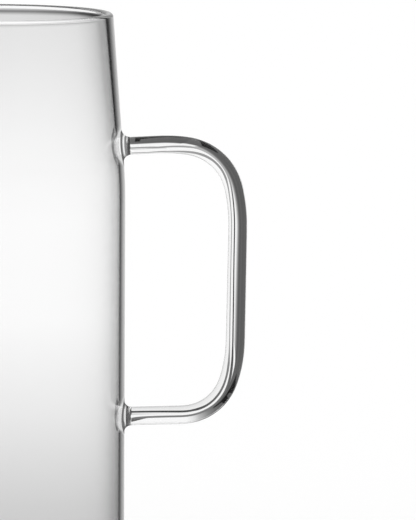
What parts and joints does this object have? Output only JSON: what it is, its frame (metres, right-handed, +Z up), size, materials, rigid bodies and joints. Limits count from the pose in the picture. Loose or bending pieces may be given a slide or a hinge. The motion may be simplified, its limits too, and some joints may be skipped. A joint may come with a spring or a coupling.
{
  "type": "glass pitcher",
  "caption": "Clear glass pitcher with a drawn in neck, a pulled pouring lip and a bent glass rod handle melted on through two collars.",
  "frame": {"origin": "centre of the flat foot, on the axis of the barrel, at the level that the pitcher stands on", "axes": "+Z up along the barrel's axis, +X from the axis towards the handle, -X towards the pouring lip, +Y completes the right-handed set"},
  "size_m": [0.1635, 0.11, 0.24],
  "materials": {
    "vessel_glass": "clear, blown, fire polished rim, faint waves in the wall",
    "rod_glass": "clear solid rod, bent hot, smooth",
    "collar_glass": "clear, melted on, soft ripples"
  },
  "bodies": {
    "root": {"vessel": "vessel_glass", "handle": "rod_glass", "upper_collar": "collar_glass", "lower_collar": "collar_glass"}
  },
  "joints": []
}
